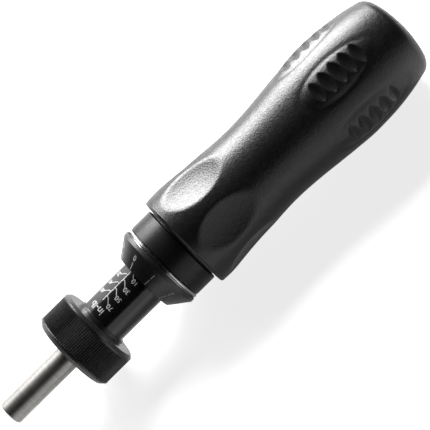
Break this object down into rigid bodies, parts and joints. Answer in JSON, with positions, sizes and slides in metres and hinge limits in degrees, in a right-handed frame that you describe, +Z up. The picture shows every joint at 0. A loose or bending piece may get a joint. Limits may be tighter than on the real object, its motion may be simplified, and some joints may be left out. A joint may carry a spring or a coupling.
{
  "type": "torque screwdriver",
  "caption": "Micrometer-type slipping torque screwdriver: moulded grip, scale tube with thimble and lock collar, knurled ring, quarter-inch hexagon socket.",
  "frame": {"origin": "on the tool's axis, at the mouth of the bit socket", "axes": "+X along the tool from the bit socket to the butt of the grip, +Z up with the tool lying on its grip"},
  "size_m": [0.1899, 0.0406, 0.0396],
  "materials": {
    "grip_plastic": "black moulded plastic, fine satin grain",
    "gloss_anodised": "black anodised, polished",
    "satin_anodised": "black anodised, fine turning lines",
    "knurled_anodised": "black anodised, straight knurl",
    "turned_steel": "bright turned steel",
    "hard_steel": "ground hardened steel",
    "spring_steel": "oil-tempered wire",
    "black_steel": "blackened steel",
    "bright_ring": "bright turned edge",
    "bronze": "plain bearing bronze",
    "aluminium": "as turned",
    "magnet": "nickel plated",
    "seal_rubber": "nitrile"
  },
  "bodies": {
    "barrel": {"scale_tube": "gloss_anodised", "knurled_ring": "knurled_anodised", "ring_grub_screw": "black_steel", "front_bush": "bronze", "thrust_race_front": "hard_steel", "tube_end_nut": "bronze", "pressure_plate": "turned_steel", "plate_keys": "hard_steel", "spring_washer": "hard_steel", "main_spring": "spring_steel"},
    "output": {"output_spindle": "turned_steel", "bit_magnet": "magnet", "thrust_race_rear": "hard_steel"},
    "ball_cage": {"thrust_balls": "hard_steel", "thrust_cage": "bronze"},
    "roller_cage": {"clutch_rollers": "hard_steel", "clutch_cage": "bronze"},
    "pusher": {"spring_pusher": "turned_steel", "pivot_ball": "hard_steel"},
    "handle": {"handle_core": "aluminium", "adjusting_screw": "turned_steel", "screw_lock_nut": "turned_steel", "thimble": "satin_anodised", "thimble_grub_screw": "black_steel", "retaining_ring": "bright_ring", "collar_o_ring": "seal_rubber", "grip": "grip_plastic"},
    "collar": {"lock_collar": "gloss_anodised"},
    "pin": {"lock_pin": "hard_steel"}
  },
  "joints": [
    {"name": "output_slip", "type": "hinge", "parent": "barrel", "child": "output", "pos_m": [0, 0, 0], "axis": [1, 0, 0], "continuous": true},
    {"name": "cage_roll", "type": "hinge", "parent": "barrel", "child": "ball_cage", "pos_m": [0.0388, 0, 0], "axis": [1, 0, 0], "continuous": true},
    {"name": "roller_roll", "type": "hinge", "parent": "barrel", "child": "roller_cage", "pos_m": [0.0443, 0, 0], "axis": [1, 0, 0], "continuous": true},
    {"name": "setting_travel", "type": "slide", "parent": "barrel", "child": "pusher", "axis": [-1, 0, 0], "range_m": [0, 0.012], "deforming": ["main_spring"]},
    {"name": "setting_turn", "type": "hinge", "parent": "pusher", "child": "handle", "pos_m": [0.1, 0, 0], "axis": [-1, 0, 0], "range_deg": [0, 2160]},
    {"name": "lock_turn", "type": "hinge", "parent": "handle", "child": "collar", "pos_m": [0.079, 0, 0], "axis": [-1, 0, 0], "range_deg": [0, 40]},
    {"name": "pin_slide", "type": "slide", "parent": "handle", "child": "pin", "axis": [0, -0.1305, 0.9914], "range_m": [0, 0.0008]}
  ],
  "couplings": [
    {"joint": "setting_travel", "follows": "setting_turn", "m_per_rad": 0.0003183},
    {"joint": "cage_roll", "follows": "output_slip", "ratio": 0.5},
    {"joint": "roller_roll", "follows": "output_slip", "ratio": 0.5},
    {"joint": "pin_slide", "follows": "lock_turn", "m_per_rad": 0.0011458}
  ]
}
